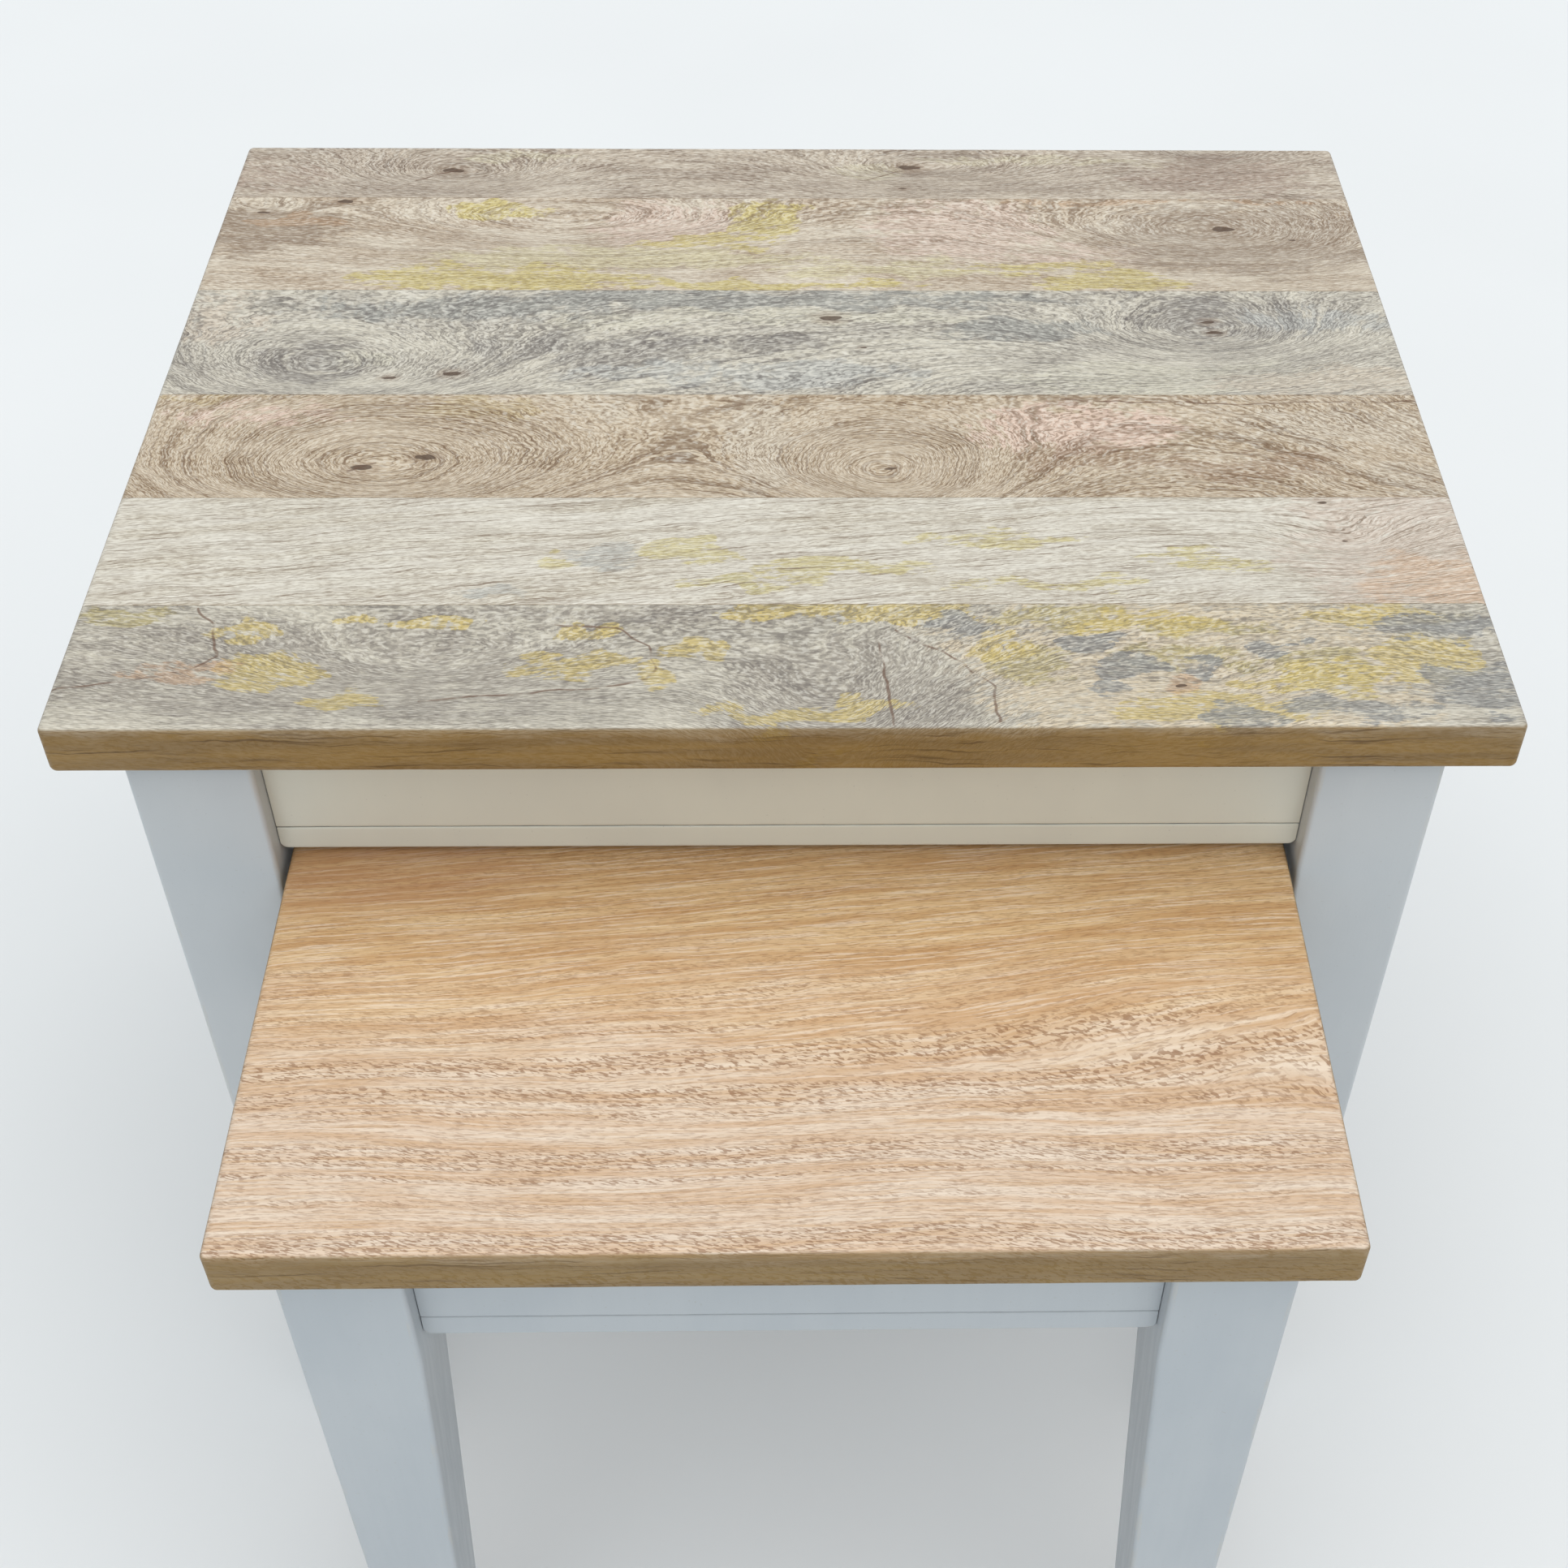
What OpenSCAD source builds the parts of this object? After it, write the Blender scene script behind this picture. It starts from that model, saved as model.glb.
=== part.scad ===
// Nest of two tables: a large table and a small one that slides in under it.
// The origin is on the floor, midway between the outermost edges of the two tops.
// +X is to the right, +Y to the back and +Z up. All sizes are in millimetres.

/* [Large table] */
// Width of the large top
large_w = 560; // [500:1:640]
// Depth of the large top
large_d = 440; // [420:1:500]
// Height of the large table
large_h = 550; // [500:1:620]
// Distance from the edges of the large top to its legs
large_overhang = 19.5; // [15:0.5:25]
// Section of the large legs where the aprons meet them
large_leg_w = 50; // [48:1:56]
// Section of the large legs at the floor
large_foot_w = 34; // [28:1:40]

/* [Small table] */
// Width of the small top
small_w = 416; // [340:1:416]
// Depth of the small top
small_d = 390; // [340:1:400]
// Gap between the small top and the large aprons
slide_gap = 5; // [3:0.5:15]
// Distance from the edges of the small top to its legs
small_overhang = 16; // [12:0.5:25]
// Section of the small legs where the aprons meet them
small_leg_w = 48; // [47:1:52]
// Section of the small legs at the floor
small_foot_w = 32; // [26:1:38]
// How far the small top stands out in front of the large one
pull_out = 165; // [60:1:220]

/* [Tops] */
// Thickness of both tops
top_t = 23; // [20:0.5:28]
// Radius of the eased edges of the tops
top_ease = 3; // [1.5:0.5:5]
// Width of the small top's front board
front_board_w = 228; // [180:1:260]

/* [Base frames] */
// Height of the aprons
apron_h = 72; // [66:1:80]
// Thickness of the aprons
apron_t = 20; // [18:0.5:22]
// How far the aprons stand back from the faces of the legs
apron_recess = 10; // [7:0.5:11]
// Height of the scored line above the bottom of the apron
line_height = 12; // [8:0.5:20]
// Width and depth of the scored line
line_w = 1; // [0.6:0.1:2]
// Radius of the eased arrises of the legs
leg_ease = 3; // [1:0.5:5]
// How far below the apron the legs start to taper
taper_drop = 6; // [2:1:40]
// Radius of the felt glides
glide_r = 11; // [8:0.5:12]
// Thickness of the felt glides
glide_t = 3; // [2:0.5:5]

/* [Joinery] */
// Length of the tenons on the aprons
tenon_l = 22; // [15:1:22]
// Thickness of the tenons
tenon_t = 8; // [6:0.5:10]
// Height of the corner blocks
block_h = 36; // [28:1:45]
// Thickness of the corner blocks across the corner
block_t = 22; // [18:1:26]
// Length of the leg bolts
bolt_l = 60; // [54:1:64]
// Radius of the leg bolts
bolt_r = 3; // [2.5:0.25:3.5]
// Radius of the wood screws
screw_r = 2; // [1.5:0.25:2.5]

/* [Hidden] */
// Widths of the large top's staves from the front edge; one more takes the rest
stave_widths = [72, 70, 75, 86, 85];
// Glue and assembly clearance of the hidden joints
glue_gap = 0.15;
// Depth of the bolts in the legs
bolt_in_leg = 27;
// Depth of the top screws in the top
screw_in_top = 15;
washer_r = 6;
washer_t = 1.5;
nut_r = 5.5;
nut_t = 5;
screw_head_r = 4;
screw_head_h = 2.5;
// Distance of the top screws from the middle of a corner block
block_screw_offset = 15;
// Wooden buttons: width, depth and height of the body, and the tongue in the apron's slot
button_w = 24;
button_d = 30;
button_h = 14;
tongue_l = 7;
tongue_t = 6;
// Place of a pair of buttons along an apron, from its middle
button_offset = 70;

overall_d = large_d + pull_out;
small_front = -overall_d / 2;
large_front = small_front + pull_out;
large_apron_z = large_h - top_t - apron_h;
small_h = large_apron_z - slide_gap;
small_apron_z = small_h - top_t - apron_h;
far = 2 * large_h;

function sum_to(list, n) = n == 0 ? 0 : list[n - 1] + sum_to(list, n - 1);
stave_count = len(stave_widths) + 1;
stave_edges = [
    for (i = [0:stave_count]) i == stave_count ? large_d : sum_to(stave_widths, i)
];

// Every corner as [name, on the right, at the back], and every apron as [name, turn]
CORNERS = [
    ["front_left", 0, 0],
    ["front_right", 1, 0],
    ["back_left", 0, 1],
    ["back_right", 1, 1],
];
APRONS = [
    ["front", 0],
    ["back", 180],
    ["left", -90],
    ["right", 90],
];
FASTENERS = ["leg_bolts", "leg_washers", "leg_nuts", "top_screws", "top_buttons", "button_screws"];

function frame_names(table) = concat(
    [for (c = CORNERS) str(table, "_leg_", c[0])],
    [for (a = APRONS) str(table, "_apron_", a[0])],
    [for (c = CORNERS) str(table, "_corner_block_", c[0])],
    [for (f = FASTENERS) str(table, "_", f)],
    [for (c = CORNERS) str(table, "_glide_", c[0])]
);

// ---- Shapes that both tables share ----

// Rectangle with true round corners, with one corner at the origin
module rounded_rect(w, d, r) {
    translate([r, 0]) square([w - 2 * r, d]);
    translate([0, r]) square([w, d - 2 * r]);
    for (x = [r, w - r], y = [r, d - r]) {
        translate([x, y]) circle(r, $fn = 32);
    }
}

// Whole top, eased along every edge, with its front edge at y = 0 and its middle at x = 0
module eased_slab(w, d) {
    intersection() {
        translate([-w / 2, 0, 0]) linear_extrude(top_t) rounded_rect(w, d, top_ease);
        translate([-w / 2, d, 0]) rotate([90, 0, 0]) linear_extrude(d) rounded_rect(w, top_t, top_ease);
        translate([-w / 2, 0, 0]) rotate([90, 0, 90]) linear_extrude(w) rounded_rect(d, top_t, top_ease);
    }
}

// The part of a top between two distances from its front edge
module top_board(w, d, from, to) {
    intersection() {
        eased_slab(w, d);
        translate([-w, from, -top_t]) cube([2 * w, to - from, 3 * top_t]);
    }
}

// Puts a shape drawn at the front left corner of a base frame, leg corner at the origin, at any corner
module at_corner(corner, w, d, overhang) {
    translate([0, d / 2, 0])
        mirror([corner[1], 0, 0])
            mirror([0, corner[2], 0])
                translate([overhang - w / 2, overhang - d / 2, 0]) children();
}

// Swaps X and Y, for what is the same on the leg's other inner face
module swapped() {
    mirror([1, -1, 0]) children();
}

// Wedge that tapers a leg's inner face, seen along Y
module taper_wedge(leg_w, foot_w, top_z) {
    translate([0, far / 2, 0]) rotate([90, 0, 0]) linear_extrude(far)
        polygon([[leg_w, top_z], [far, top_z], [far, 0], [foot_w, 0]]);
}

// Mortise for the tenon of the apron that runs along X
module mortise(leg_w, apron_z) {
    grow = glue_gap;
    translate([leg_w - tenon_l - 1, apron_recess + (apron_t - tenon_t) / 2 - grow, apron_z + line_height - grow])
        cube([tenon_l + 2, tenon_t + 2 * grow, apron_h - 2 * line_height + 2 * grow]);
}

// Stands a shape drawn along +Z on the diagonal from the leg's inner corner, pointing inward
module on_diagonal(leg_w, z) {
    translate([leg_w, leg_w, z]) rotate([0, 90, 45]) children();
}

module leg(leg_w, foot_w, apron_z) {
    top_z = apron_z + apron_h;
    color("ivory") difference() {
        translate([0, 0, glide_t]) linear_extrude(top_z - glide_t) rounded_rect(leg_w, leg_w, leg_ease);
        taper_wedge(leg_w, foot_w, apron_z - taper_drop);
        swapped() taper_wedge(leg_w, foot_w, apron_z - taper_drop);
        mortise(leg_w, apron_z);
        swapped() mortise(leg_w, apron_z);
        on_diagonal(leg_w, top_z - block_h / 2)
            translate([0, 0, -bolt_in_leg - 1]) cylinder(r = bolt_r + glue_gap, h = bolt_in_leg + 2, $fn = 24);
    }
}

// Apron with its outer face at y = 0, its middle at x = 0 and its bottom at z = 0.
// An apron with slots holds the tongues of two buttons.
module apron(length, has_slots) {
    tenon_h = apron_h - 2 * line_height;
    color("ivory") difference() {
        union() {
            translate([-length / 2, 0, 0]) cube([length, apron_t, apron_h]);
            translate([-length / 2 - tenon_l, (apron_t - tenon_t) / 2, line_height])
                cube([length + 2 * tenon_l, tenon_t, tenon_h]);
        }
        translate([-length / 2 - 1, -line_w, line_height]) cube([length + 2, 2 * line_w, line_w]);
        if (has_slots) {
            for (x = [-button_offset, button_offset]) {
                translate([x - button_w / 2 - 2, apron_t - tongue_l - 1, apron_h - button_h - 0.5])
                    cube([button_w + 4, tongue_l + 2, tongue_t + 1]);
            }
        }
    }
}

// Diagonal block between two aprons, with holes for the leg bolt and two top screws
module corner_block(leg_w, top_z) {
    face = apron_recess + apron_t;
    near = 2 * (leg_w - face) + glue_gap * 2;
    across = near + block_t * sqrt(2);
    color("burlywood") difference() {
        translate([face, face, top_z - block_h]) linear_extrude(block_h)
            polygon([[near, 0], [across, 0], [0, across], [0, near]]);
        on_diagonal(leg_w, top_z - block_h / 2)
            translate([0, 0, -1]) cylinder(r = bolt_r + 0.5, h = block_t + 4, $fn = 24);
        at_block_screws(leg_w, top_z) {
            translate([0, 0, -1]) cylinder(r = screw_r + glue_gap, h = block_h + 2, $fn = 24);
            translate([0, 0, -1]) cylinder(r = screw_head_r + glue_gap, h = screw_head_h + 1 + glue_gap, $fn = 24);
        }
    }
}

module at_block_screws(leg_w, top_z) {
    middle = leg_w + block_t / 2 / sqrt(2);
    shift = block_screw_offset / sqrt(2);
    for (side = [-1, 1]) {
        translate([middle + side * shift, middle - side * shift, top_z - block_h]) children();
    }
}

module leg_bolt(leg_w, top_z) {
    color("silver") on_diagonal(leg_w, top_z - block_h / 2)
        translate([0, 0, -bolt_in_leg]) cylinder(r = bolt_r, h = bolt_l, $fn = 24);
}

module leg_washer(leg_w, top_z) {
    color("silver") on_diagonal(leg_w, top_z - block_h / 2)
        translate([0, 0, block_t + glue_gap * 2]) difference() {
            cylinder(r = washer_r, h = washer_t, $fn = 32);
            translate([0, 0, -1]) cylinder(r = bolt_r + 0.3, h = washer_t + 2, $fn = 24);
        }
}

module leg_nut(leg_w, top_z) {
    color("silver") on_diagonal(leg_w, top_z - block_h / 2)
        translate([0, 0, block_t + glue_gap * 2 + washer_t]) difference() {
            cylinder(r = nut_r, h = nut_t, $fn = 6);
            translate([0, 0, -1]) cylinder(r = bolt_r + 0.05, h = nut_t + 2, $fn = 24);
        }
}

// Countersunk wood screw that points up, with its head's face at z = 0
module wood_screw(length) {
    color("silver") {
        cylinder(r1 = screw_head_r, r2 = screw_r, h = screw_head_h, $fn = 24);
        translate([0, 0, screw_head_h - 0.1]) cylinder(r = screw_r, h = length - screw_head_h - 2, $fn = 24);
        translate([0, 0, length - 2.2]) cylinder(r1 = screw_r, r2 = 0.5, h = 2.2, $fn = 24);
    }
}

// Pilot hole in the top for a screw whose tip is the given height above the underside
module pilot(depth) {
    translate([0, 0, -1]) cylinder(r = screw_r + 0.05, h = depth + 1.5, $fn = 24);
}

// Places along the aprons where buttons stand, in the frame of the apron at y = 0
module at_buttons(d, overhang) {
    for (turn = [0, 180], x = [-button_offset, button_offset]) {
        translate([0, d / 2, 0]) rotate([0, 0, turn])
            translate([x, overhang + apron_recess + apron_t - d / 2, 0]) children();
    }
}

module top_button() {
    color("burlywood") difference() {
        union() {
            translate([-button_w / 2, 0.5, -button_h]) cube([button_w, button_d, button_h]);
            translate([-button_w / 2, -tongue_l, -button_h]) cube([button_w, tongue_l + 1, tongue_t]);
        }
        translate([0, button_d / 2, -button_h - 1])
            cylinder(r = screw_r + glue_gap, h = button_h + 2, $fn = 24);
        translate([0, button_d / 2, -button_h - 1])
            cylinder(r = screw_head_r + glue_gap, h = screw_head_h + 1 + glue_gap, $fn = 24);
    }
}

module glide(foot_w) {
    color("dimgray") translate([foot_w / 2, foot_w / 2, 0]) cylinder(r = glide_r, h = glide_t, $fn = 48);
}

// Holes in a top for the screws that hold it to its base frame
module top_pilots(w, d, leg_w, overhang) {
    for (corner = CORNERS) {
        at_corner(corner, w, d, overhang)
            at_block_screws(leg_w, block_h) pilot(screw_in_top);
    }
    at_buttons(d, overhang) translate([0, button_d / 2, 0]) pilot(screw_in_top);
}

// ---- One table's base frame, one node at a time ----

module base_frame(table, w, d, overhang, leg_w, foot_w, apron_z) {
    top_z = apron_z + apron_h;
    for (c = CORNERS) {
        at_corner(c, w, d, overhang) leg(leg_w, foot_w, apron_z);
        at_corner(c, w, d, overhang) corner_block(leg_w, top_z);
        at_corner(c, w, d, overhang) glide(foot_w);
        at_corner(c, w, d, overhang) leg_bolt(leg_w, top_z);
        at_corner(c, w, d, overhang) leg_washer(leg_w, top_z);
        at_corner(c, w, d, overhang) leg_nut(leg_w, top_z);
        at_corner(c, w, d, overhang)
                at_block_screws(leg_w, top_z) wood_screw(block_h + screw_in_top);
    }
    for (a = APRONS) {
        across = a[1] == 0 || a[1] == 180;
        between = (across ? w : d) - 2 * (overhang + leg_w);
        reach = (across ? d : w) / 2 - overhang - apron_recess;
        translate([0, d / 2, apron_z]) rotate([0, 0, a[1]])
                translate([0, -reach, 0]) apron(between, across);
    }
    translate([0, 0, top_z]) at_buttons(d, overhang) top_button();
    translate([0, 0, top_z]) at_buttons(d, overhang)
            translate([0, button_d / 2, -button_h]) wood_screw(button_h + screw_in_top);
}

// ---- The large table ----

module large_top_stave(i) {
    color(i % 2 == 0 ? "tan" : "wheat") difference() {
        top_board(large_w, large_d, stave_edges[i], stave_edges[i + 1]);
        top_pilots(large_w, large_d, large_leg_w, large_overhang);
    }
}

module small_top_board(from, to) {
    color("burlywood") difference() {
        top_board(small_w, small_d, from, to);
        top_pilots(small_w, small_d, small_leg_w, small_overhang);
    }
}

translate([0, large_front, 0]) {
    for (i = [0:stave_count - 1]) {
        translate([0, 0, large_h - top_t]) large_top_stave(i);
    }
    base_frame("large", large_w, large_d, large_overhang, large_leg_w, large_foot_w, large_apron_z);
}

translate([0, small_front, 0]) {
    translate([0, 0, small_h - top_t]) small_top_board(0, front_board_w);  // small_top_front_board
    translate([0, 0, small_h - top_t]) small_top_board(front_board_w, small_d);  // small_top_back_board
    base_frame("small", small_w, small_d, small_overhang, small_leg_w, small_foot_w, small_apron_z);
}
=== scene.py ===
"""Looks of the nest of two tables: mottled and plain mango tops on painted frames."""

import math

import bmesh
import bpy
from mathutils import Matrix, Vector, noise


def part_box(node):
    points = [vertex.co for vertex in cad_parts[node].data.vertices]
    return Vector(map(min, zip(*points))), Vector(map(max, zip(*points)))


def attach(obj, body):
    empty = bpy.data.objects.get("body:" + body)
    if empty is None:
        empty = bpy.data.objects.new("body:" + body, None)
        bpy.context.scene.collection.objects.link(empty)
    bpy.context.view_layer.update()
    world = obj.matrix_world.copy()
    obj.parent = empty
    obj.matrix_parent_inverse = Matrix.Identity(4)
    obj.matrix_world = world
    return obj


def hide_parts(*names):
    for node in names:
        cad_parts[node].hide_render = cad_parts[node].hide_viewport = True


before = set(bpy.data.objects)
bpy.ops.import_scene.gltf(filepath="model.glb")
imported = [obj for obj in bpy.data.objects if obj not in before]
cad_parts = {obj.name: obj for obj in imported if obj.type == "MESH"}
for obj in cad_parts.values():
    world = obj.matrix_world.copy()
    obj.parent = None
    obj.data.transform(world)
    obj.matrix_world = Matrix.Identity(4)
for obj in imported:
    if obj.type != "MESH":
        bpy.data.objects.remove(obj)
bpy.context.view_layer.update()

scene = bpy.context.scene
UP = Vector((0, 0, 1))
MM = 0.001
TINY = 0.001 * MM

# Rounding of the arrises of the tops and legs, and the faint chamfer along a seam
TOP_EASE = 3 * MM
LEG_EASE = 2 * MM
SEAM = 0.3 * MM

# How far the legs' taper starts below the aprons, and how wide the legs are at the floor
TAPER_DROP = 6 * MM
FOOT_WIDE = {"large": 34 * MM, "small": 32 * MM}

# Height of the scored line above the lower edge of an apron, and what a point of its profile is
SCORE_HEIGHT = 12.5 * MM
FLAT, ARRIS, SCORED = range(3)

FLOOR_HALF = 20
FLOOR_DROP = 0.3 * MM


# ---- Material graphs ----

def srgb(red, green, blue):
    """Linear colour of the given screen values, which run from 0 to 255."""
    def linear(value):
        value /= 255
        return value / 12.92 if value <= 0.04045 else ((value + 0.055) / 1.055) ** 2.4
    return (linear(red), linear(green), linear(blue), 1)


class Value:
    """An output of a node that sums, products and other expressions can be made of."""

    def __init__(self, graph, socket):
        self.graph, self.socket = graph, socket

    def __add__(self, other):
        return self.graph.math("ADD", self, other)

    def __sub__(self, other):
        return self.graph.math("SUBTRACT", self, other)

    def __rsub__(self, other):
        return self.graph.math("SUBTRACT", other, self)

    def __mul__(self, other):
        return self.graph.math("MULTIPLY", self, other)

    def __truediv__(self, other):
        return self.graph.math("DIVIDE", self, other)

    def __rtruediv__(self, other):
        return self.graph.math("DIVIDE", other, self)


class Graph:
    """A material whose node tree is written as expressions."""

    def __init__(self, name):
        self.material = bpy.data.materials.new(name)
        self.material.use_nodes = True
        self.tree = self.material.node_tree
        self.shader = self.tree.nodes["Principled BSDF"]
        coordinates = self.tree.nodes.new("ShaderNodeTexCoord")
        self.point = Value(self, coordinates.outputs["Object"])
        self.normal = Value(self, coordinates.outputs["Normal"])

    def put(self, socket, value):
        if isinstance(value, Value):
            self.tree.links.new(value.socket, socket)
        else:
            socket.default_value = value

    def node(self, kind, inputs, output=0, **settings):
        made = self.tree.nodes.new("ShaderNode" + kind)
        for name, value in settings.items():
            setattr(made, name, value)
        for name, value in inputs.items():
            self.put(made.inputs[name], value)
        return Value(self, made.outputs[output])

    def math(self, operation, *values, clamp=False):
        return self.node("Math", dict(enumerate(values)), operation=operation, use_clamp=clamp)

    def vector(self, operation, *values, output=0):
        return self.node("VectorMath", dict(enumerate(values)), output=output,
                         operation=operation)

    def scaled(self, point, size, centre=(0, 0, 0)):
        """Coordinates counted from a centre, in units of the given size along each axis."""
        scale = [1 / s for s in size]
        offset = [-c * s for c, s in zip(centre, scale)]
        return self.vector("MULTIPLY_ADD", point, scale, offset)

    def parts(self, vector):
        made = self.tree.nodes.new("ShaderNodeSeparateXYZ")
        self.put(made.inputs[0], vector)
        return [Value(self, output) for output in made.outputs]

    def joined(self, x, y, z):
        return self.node("CombineXYZ", {0: x, 1: y, 2: z})

    def noise(self, point, detail=2.0, roughness=0.5, output=0, distortion=0.0):
        """Noise around 0.5, whose features are about one unit across."""
        inputs = {"Vector": point, "Scale": 1.0, "Detail": detail, "Roughness": roughness,
                  "Distortion": distortion}
        return self.node("TexNoise", inputs, output=output, noise_dimensions="3D")

    def noise_1d(self, value, detail=2.0, roughness=0.5):
        inputs = {"W": value, "Scale": 1.0, "Detail": detail, "Roughness": roughness}
        return self.node("TexNoise", inputs, noise_dimensions="1D")

    def step(self, value, start, end, low=0.0, high=1.0):
        """Smooth rise from low to high as the value goes from start to end."""
        inputs = {"Value": value, "From Min": start, "From Max": end,
                  "To Min": low, "To Max": high}
        return self.node("MapRange", inputs, interpolation_type="SMOOTHSTEP", clamp=True)

    def mix(self, share, first, second):
        return self.node("Mix", {0: share, 6: first, 7: second}, output=2, data_type="RGBA",
                         clamp_factor=True)

    def warped(self, point, size, amount):
        """The point, moved about by noise of the given size."""
        wander = self.noise(self.scaled(point, size), detail=1.0, output=1)
        shift = self.vector("SUBTRACT", wander, (0.5, 0.5, 0.5))
        return self.vector("MULTIPLY_ADD", shift, amount, point)

    def hill(self, point, x, y, wide, deep, height):
        """A long-tailed hill on the board's face; its contours are the rings of an eye."""
        place = self.scaled(point, (wide, deep, 1), (x, y, 0))
        flat = self.vector("MULTIPLY", place, (1, 1, 0))
        return height / (self.vector("DOT_PRODUCT", flat, flat, output=1) + 1.0)

    def spots(self, point, places):
        """Soft ellipses (x, y, half width, half depth, strength), the strongest at each point."""
        total = None
        for x, y, wide, deep, strength in places:
            scale, offset = (1 / wide, 1 / deep, 0), (-x / wide, -y / deep, 0)
            flat = self.vector("MULTIPLY_ADD", point, scale, offset)
            away = self.vector("DOT_PRODUCT", flat, flat, output=1)
            spot = self.step(away, 1.0, 0.0, 0.0, strength)
            total = spot if total is None else self.math("MAXIMUM", total, spot)
        return total

    def stroke(self, point, path, width):
        """Thin line through the given points of the board's face."""
        nearest = None
        flat = self.vector("MULTIPLY", point, (1, 1, 0))
        for (ax, ay), (bx, by) in zip(path, path[1:]):
            along = Vector((bx - ax, by - ay, 0))
            start = self.vector("SUBTRACT", flat, (ax, ay, 0))
            share = self.vector("DOT_PRODUCT", start, along / along.length_squared, output=1)
            share = self.math("MULTIPLY", share, 1.0, clamp=True)
            foot = self.vector("SCALE", along)
            self.put(foot.socket.node.inputs["Scale"], share)
            away = self.vector("LENGTH", self.vector("SUBTRACT", start, foot), output=1)
            nearest = away if nearest is None else self.math("MINIMUM", nearest, away)
        return self.step(nearest, width, width * 0.3)

    def bump(self, height, distance, strength):
        return self.node("Bump", {"Height": height, "Distance": distance, "Strength": strength})

    def finish(self, colour, roughness, normal, **fixed):
        self.put(self.shader.inputs["Base Color"], colour)
        self.put(self.shader.inputs["Roughness"], roughness)
        self.put(self.shader.inputs["Normal"], normal)
        for name, value in fixed.items():
            self.shader.inputs[name.replace("_", " ")].default_value = value
        return self.material


# ---- Wood ----

DARK = srgb(88, 68, 54)


def wood_pores(g, here, layers):
    """Short dark dashes that run along the contours of the growth layers, in two sizes."""
    x, y, z = g.parts(here)
    across = y + z
    dashes = g.noise(g.joined(x / 0.0034, layers / 0.00043, across / 0.0019), detail=1.0)
    slanted = (layers + y * 0.35) / 0.0010
    flecks = g.noise(g.joined(x / 0.0085, slanted, across / 0.004), detail=2.0)
    return dashes, flecks


def edge_colour(g, here, colour, tone, line):
    """The colour of a board, turned to a darker tone with fine lines on the sides of the top.
    What is on the face runs over the arris and fades on the way down."""
    x, y, z = g.parts(here)
    side = g.step(g.math("ABSOLUTE", g.parts(g.normal)[2]), 0.85, 0.45)
    sag = g.noise(g.joined(x / 0.030, y / 0.030, z / 0.012), detail=3.0)
    fade = g.step(z + (sag - 0.5) * 0.016, 0.016, 0.021, 0.90, 0.76)
    sagging = (z + (sag - 0.5) * 0.008) / 0.0013
    streak = g.noise(g.joined(x / 0.060, y / 0.060, sagging), detail=3.0, roughness=0.65)
    drift = g.noise(g.joined(x / 0.080, y / 0.080, z / 0.006), detail=2.0)
    tone = g.mix(g.step(drift, 0.35, 0.65, 0.0, 0.35), tone, line)
    colour = g.mix(side * fade, colour, tone)
    return g.mix(side * g.step(streak, 0.55, 0.66, 0.0, 0.75), colour, line)


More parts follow.
